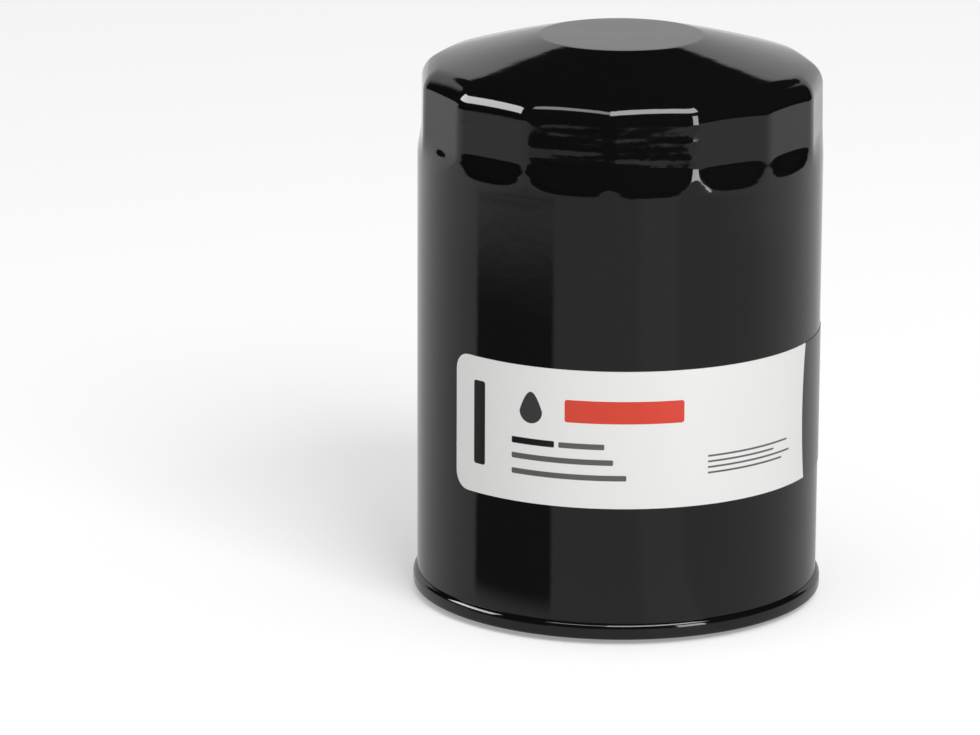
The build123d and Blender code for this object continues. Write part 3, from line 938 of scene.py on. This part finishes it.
def wound_wire(count):
    """A round wire along a helix. It climbs evenly between its end coils, which lie flat for END_COIL of a
    turn. The wire's ends are closed by rings of radius 0."""
    share = np.linspace(0, 1, count)
    climb = np.clip((share * COILS - END_COIL) / (COILS - 2 * END_COIL), 0, 1)
    angle = 2 * math.pi * COILS * share
    level = foot + (head - foot) * climb
    around = np.linspace(0, 2 * math.pi, WIRE_SIDES, endpoint=False)
    thickness = np.full(count, WIRE_R)
    thickness[[0, -1]] = 0
    radius = coil_r + thickness[:, None] * np.cos(around)
    height = level[:, None] + thickness[:, None] * np.sin(around)
    return np.stack([radius * np.cos(angle)[:, None], radius * np.sin(angle)[:, None], height], axis=-1)


turns = wound_wire(COILS * STEPS_PER_COIL + 1)
coil = surface("valve_coil_spring", np.concatenate([turns[:1], turns]), closed=False)

# Oil-tempered spring wire: a dark, even grey with fine drawing lines.
spring_wire = worked_metal("oil_tempered_wire", "#77787a", "#4e4f51", (1.0, 1.0, 0.2), 0.34)
coil.data.materials.append(spring_wire)
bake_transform(coil)
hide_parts("bypass_spring")


# ---------------------------------------------------------------- filter element and its valve
# The rest of the inside: pleated paper bonded into two caps round a perforated tube, the bypass valve in
# the upper cap, and the leaf spring that presses the element down.


def dress(material, *names):
    """Gives the material to the named solids of the frame."""
    for name in names:
        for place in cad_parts[name].material_slots:
            place.material = material


# Bright tinplate, whose rolled grain is fine and silvery.
tinplate = worked_metal("bright_tinplate", "#c9cac8", "#a9aaa8", (1.0, 0.15, 1.0), 0.26)
dress(tinplate, "lower_end_cap", "upper_end_cap", "media_seam_clip", "centre_tube")

# Zinc plate with a yellow passivate, which clouds from straw to green-grey.
zinc_plate = worked_metal("yellow_zinc_plate", "#cdbb6e", "#9fa07a", (1.0, 1.0, 1.0), 0.3)
dress(zinc_plate, "bypass_seat", "bypass_cage", "bypass_poppet")

# Spring strip, hardened and blued: dark and slightly blue, with rolling lines along it.
spring_strip = worked_metal("blued_spring_strip", "#6d7076", "#474a50", (0.2, 1.0, 1.0), 0.33)
dress(spring_strip, "hold_down_spring")
dress(nitrile, "bypass_facing")


def matt_stuff(name, light, dark, stretch, scale, roughness, relief):
    """A matt material: two tones mixed by a noise of scale waves to the metre, stretched as its fibres or
    flow lie, which also lifts the bump."""
    material, tree, output = start_material(name)
    place = add_node(tree, "ShaderNodeTexCoord")
    laid = add_node(tree, "ShaderNodeMapping", {"Vector": place.outputs["Object"], "Scale": stretch})
    fibre = add_node(
        tree,
        "ShaderNodeTexNoise",
        {"Vector": laid.outputs["Vector"], "Scale": scale, "Detail": 5.0, "Roughness": 0.6},
    )
    tone = add_node(
        tree,
        "ShaderNodeMix",
        {0: fibre.outputs["Fac"], 6: linear(dark), 7: linear(light)},
        data_type="RGBA",
    )
    lift = add_node(
        tree,
        "ShaderNodeBump",
        {"Height": fibre.outputs["Fac"], "Strength": relief, "Distance": 0.0003},
    )
    shader = add_node(
        tree,
        "ShaderNodeBsdfPrincipled",
        {"Base Color": tone.outputs[2], "Roughness": roughness, "Normal": lift.outputs["Normal"]},
    )
    tree.links.new(shader.outputs["BSDF"], output.inputs["Surface"])
    return material


# Cellulose paper cured with phenolic resin: tan, with cloudy fibres 2 mm wide and 5 mm long.
cured_paper = matt_stuff("resin_cured_paper", "#e0c48c", "#c6a468", (1.0, 1.0, 0.4), 500.0, 0.85, 0.4)
dress(cured_paper, "pleated_media")

# Plastisol adhesive, baked: a smooth, slightly glossy cream, clouded over 8 mm.
plastisol = matt_stuff("baked_plastisol", "#c9b184", "#b59b6c", (1, 1, 1), 120.0, 0.42, 0.2)
dress(plastisol, "lower_potting", "upper_potting")

# Can sealer: a dark, flexible compound that was flowed in as a liquid, uneven over 5 mm.
sealer = matt_stuff("flowed_can_sealer", "#3a332e", "#29231f", (1, 1, 1), 200.0, 0.6, 0.2)
dress(sealer, "seam_compound")


# ---------------------------------------------------------------- light, floor and camera
# White paper lies under the filter and curves up behind it, and one lamp lights it from the front right.
# Glossy rays alone see what stands round it in the studio: soft boxes, a white card and black drapes beyond
# the paper's edges. On the paper itself they see a painted glow on the right and a painted dark reflection
# on the left.

DRAPE_TONE = 0.01
BACKDROP_TONE = 0.68
BACKDROP_SIDES = (1.25, 0.95)
BACKDROP_TOP = (0.49, 0.465)
BACKDROP_FOOT = (0.02, 0.1)
ROOM_LIGHT = 0.52
world = bpy.data.worlds.new("studio")
bpy.context.scene.world = world
world.use_nodes = True
tree = world.node_tree
tree.nodes.clear()
ray = add_node(tree, "ShaderNodeTexCoord")
part = add_node(tree, "ShaderNodeSeparateXYZ", {"Vector": ray.outputs["Generated"]})
path = add_node(tree, "ShaderNodeLightPath")


def step_between(value, low, high):
    """Rises smoothly from 0 at low to 1 at high, or falls where low is the higher."""
    return add_node(
        tree,
        "ShaderNodeMapRange",
        {"Value": value, "From Min": low, "From Max": high},
        interpolation_type="SMOOTHSTEP",
    ).outputs["Result"]


def both(first, second):
    """1 where both masks are 1: their product."""
    return add_node(tree, "ShaderNodeMath", {0: first, 1: second}, operation="MULTIPLY").outputs[0]


def between(value, low, high, soft):
    """1 from low to high, falling smoothly to 0 over the width soft outside them."""
    return both(step_between(value, low - soft, low), step_between(value, high + soft, high))


def lightened(tone, mask, amount):
    """The tone, with the amount added where the mask is 1."""
    inputs = {0: mask, 1: amount, 2: tone}
    return add_node(tree, "ShaderNodeMath", inputs, operation="MULTIPLY_ADD").outputs[0]


def bearing(right, ahead):
    """The azimuth of a place so far to the right and ahead: the angle from the front, -Y, towards +X."""
    towards = add_node(tree, "ShaderNodeMath", {0: ahead, 1: -1.0}, operation="MULTIPLY").outputs[0]
    return add_node(tree, "ShaderNodeMath", {0: right, 1: towards}, operation="ARCTAN2").outputs[0]


right, ahead, up = (part.outputs[axis] for axis in "XYZ")
azimuth = bearing(right, ahead)
elevation = add_node(tree, "ShaderNodeMath", {0: up}, operation="ARCSINE").outputs[0]
aside = add_node(tree, "ShaderNodeMath", {0: right}, operation="ABSOLUTE").outputs[0]
off_axis = add_node(tree, "ShaderNodeMath", {0: aside, 1: ahead}, operation="DIVIDE").outputs[0]
backdrop = both(step_between(ahead, *BACKDROP_FOOT), step_between(off_axis, *BACKDROP_SIDES))
backdrop = both(backdrop, step_between(up, *BACKDROP_TOP))
mirrored = lightened(DRAPE_TONE, backdrop, BACKDROP_TONE)

# A tall box on the left, a long box over the camera, a smaller one to its left, and a white card on the
# right: azimuths and elevations in degrees, the width of their soft edge, and their strength.
for sides, heights, soft, strength in (
    ((-108, -74), (13.5, 33), 2.0, 11.0),
    ((-5, 58), (38, 54), 3.0, 9.0),
    ((-44, -9), (43, 51), 3.0, 5.0),
    ((35, 50), (-5, 22), 1.5, 8.0),
):
    across = between(azimuth, *np.radians(sides), math.radians(soft))
    upright = between(elevation, *np.radians(heights), math.radians(soft))
    mirrored = lightened(mirrored, both(across, upright), strength)
plain = add_node(
    tree,
    "ShaderNodeMapRange",
    {"Value": path.outputs["Is Camera Ray"], "To Min": ROOM_LIGHT, "To Max": 1.0},
)
brightness = add_node(
    tree,
    "ShaderNodeMix",
    {0: path.outputs["Is Glossy Ray"], 2: plain.outputs["Result"], 3: mirrored},
)
light = add_node(
    tree,
    "ShaderNodeBackground",
    {"Color": (1, 1, 1, 1), "Strength": brightness.outputs[0]},
)
output = add_node(tree, "ShaderNodeOutputWorld", {"Surface": light.outputs["Background"]})

FLOOR_REACH = 5.0
FLOOR_Z = -2e-5
corners = [(x * FLOOR_REACH, y * FLOOR_REACH, FLOOR_Z) for x, y in ((-1, -1), (1, -1), (1, 1), (-1, 1))]
sheet = bpy.data.meshes.new("floor")
sheet.from_pydata(corners, [], [(0, 1, 2, 3)])
floor = bpy.data.objects.new("floor", sheet)
bpy.context.scene.collection.objects.link(floor)

# Matt white paper, clear from below. In glossy rays its tone is set by place, with distances in metres.
paper, tree, output = start_material("white_studio_paper")
place = add_node(tree, "ShaderNodeTexCoord")
part = add_node(tree, "ShaderNodeSeparateXYZ", {"Vector": place.outputs["Object"]})
path = add_node(tree, "ShaderNodeLightPath")
right, ahead = part.outputs["X"], part.outputs["Y"]
azimuth = bearing(right, ahead)
aside = add_node(tree, "ShaderNodeMath", {0: right}, operation="ABSOLUTE").outputs[0]
away = add_node(
    tree,
    "ShaderNodeVectorMath",
    {0: place.outputs["Object"]},
    operation="LENGTH",
).outputs["Value"]

# The paper's edges: it ends in front along a slightly slanting line, and at both sides. It stays in sight
# where the backdrop stands on it, and in a wedge behind on the left.
FRONT_EDGE, FRONT_SLANT = (-0.562, -0.538), 0.11
SIDE_EDGE = (0.78, 0.66)
LEFT_WEDGE, LEFT_SOFT = np.radians((-150, -112)), 0.05
forward = add_node(tree, "ShaderNodeMath", {0: ahead, 1: 0.01}, operation="MAXIMUM").outputs[0]
off_axis = add_node(tree, "ShaderNodeMath", {0: aside, 1: forward}, operation="DIVIDE").outputs[0]
in_sight = step_between(aside, *SIDE_EDGE)
for region in (step_between(off_axis, *BACKDROP_SIDES), between(azimuth, *LEFT_WEDGE, LEFT_SOFT)):
    in_sight = add_node(tree, "ShaderNodeMath", {0: in_sight, 1: region}, operation="MAXIMUM").outputs[0]
slanted = add_node(
    tree,
    "ShaderNodeMath",
    {0: right, 1: FRONT_SLANT, 2: ahead},
    operation="MULTIPLY_ADD",
).outputs[0]
in_sight = both(step_between(slanted, *FRONT_EDGE), in_sight)

# A painted dark reflection: on the left, from close by the filter outwards, the paper's glossy tone is
# darkened in a band, with no card standing there. Its bearings are taken from its foot, the point nearest
# to the filter.
DARK_BAND_X, DARK_BAND_Y = -0.006, -0.032
DARK_BAND_SIDES, DARK_BAND_SOFT = np.radians((-86, -39)), 0.06
DARK_BAND_NEAR, DARK_BAND_FAR = (0.06, 0.08), (0.5, 0.32)
DARK_BAND_DEPTH = 0.9
band_right = add_node(tree, "ShaderNodeMath", {0: right, 1: DARK_BAND_X}, operation="SUBTRACT").outputs[0]
band_ahead = add_node(tree, "ShaderNodeMath", {0: ahead, 1: DARK_BAND_Y}, operation="SUBTRACT").outputs[0]
painted_dark_band = between(bearing(band_right, band_ahead), *DARK_BAND_SIDES, DARK_BAND_SOFT)
painted_dark_band = both(both(painted_dark_band, step_between(away, *DARK_BAND_NEAR)), step_between(away, *DARK_BAND_FAR))
in_sight = both(in_sight, lightened(1.0, painted_dark_band, -DARK_BAND_DEPTH))

# The paper is grey in front and brighter behind. It is a little brighter out to the sides and in a wedge to
# the right of the front, and to the right beyond 0.7 m it glows brightly: a painted glow, with no card
# there.
BRIGHTER_BEHIND = {"From Min": -0.1, "From Max": 0.45, "To Min": 0.48, "To Max": 0.82}
BESIDE, BESIDE_AHEAD, BESIDE_TONE = (0.36, 0.48), (0.2, 0.0), 0.11
RIGHT_WEDGE, RIGHT_SOFT, RIGHT_TONE = np.radians((14, 28)), 0.12, 0.09
GLOW_SIDES, GLOW_SOFT, GLOW_NEAR, GLOW_TONE = np.radians((35, 50)), 0.03, (0.7, 0.72), 8.0
tone = add_node(tree, "ShaderNodeMapRange", {"Value": ahead, **BRIGHTER_BEHIND}).outputs["Result"]
beside = both(step_between(aside, *BESIDE), step_between(ahead, *BESIDE_AHEAD))
tone = lightened(tone, beside, BESIDE_TONE)
tone = lightened(tone, between(azimuth, *RIGHT_WEDGE, RIGHT_SOFT), RIGHT_TONE)
painted_white_glow = both(between(azimuth, *GLOW_SIDES, GLOW_SOFT), step_between(away, *GLOW_NEAR))
mirror_tone = lightened(both(in_sight, tone), painted_white_glow, GLOW_TONE)

PAPER_GLOW, PAPER_GLOW_SEEN = 0.1, 0.29
matt = add_node(tree, "ShaderNodeBsdfDiffuse", {"Color": (0.92, 0.92, 0.92, 1)})
lift = add_node(
    tree,
    "ShaderNodeMapRange",
    {"Value": path.outputs["Is Camera Ray"], "To Min": PAPER_GLOW, "To Max": PAPER_GLOW_SEEN},
)
glow = add_node(tree, "ShaderNodeEmission", {"Strength": lift.outputs["Result"]})
lit = add_node(tree, "ShaderNodeAddShader", {0: matt.outputs[0], 1: glow.outputs[0]})
mirror = add_node(tree, "ShaderNodeEmission", {"Strength": mirror_tone})
drawn = add_node(
    tree,
    "ShaderNodeMixShader",
    {0: path.outputs["Is Glossy Ray"], 1: lit.outputs[0], 2: mirror.outputs[0]},
)
facing = add_node(tree, "ShaderNodeNewGeometry")
clear = add_node(tree, "ShaderNodeBsdfTransparent")
one_sided = add_node(
    tree,
    "ShaderNodeMixShader",
    {0: facing.outputs["Backfacing"], 1: drawn.outputs[0], 2: clear.outputs[0]},
)
tree.links.new(one_sided.outputs[0], output.inputs["Surface"])
floor.data.materials.append(paper)
floor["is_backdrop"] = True

# A soft box of one metre above the camera's right shoulder, hidden from reflections.
lamp = bpy.data.lights.new("key", "AREA")
lamp.shape = "RECTANGLE"
lamp.size, lamp.size_y = 1.0, 1.0
lamp.energy = 18.3
key = bpy.data.objects.new("key", lamp)
key.location = (0.65, -1.25, 1.3)
key.rotation_euler = (math.radians(50), 0, math.radians(27))
key.visible_glossy = False
bpy.context.scene.collection.objects.link(key)

# A long lens from 1.2 m away, looking 15 degrees down on the label.
view = bpy.data.cameras.new("camera")
view.sensor_width = 36
view.lens = 196.29
camera = bpy.data.objects.new("camera", view)
camera.location = (-0.00275, -1.19653, 0.37020)
camera.rotation_euler = (math.radians(75.115), math.radians(-0.208), math.radians(1.344))
bpy.context.scene.collection.objects.link(camera)
bpy.context.scene.camera = camera
bpy.context.scene.view_settings.view_transform = "Standard"

low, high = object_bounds()
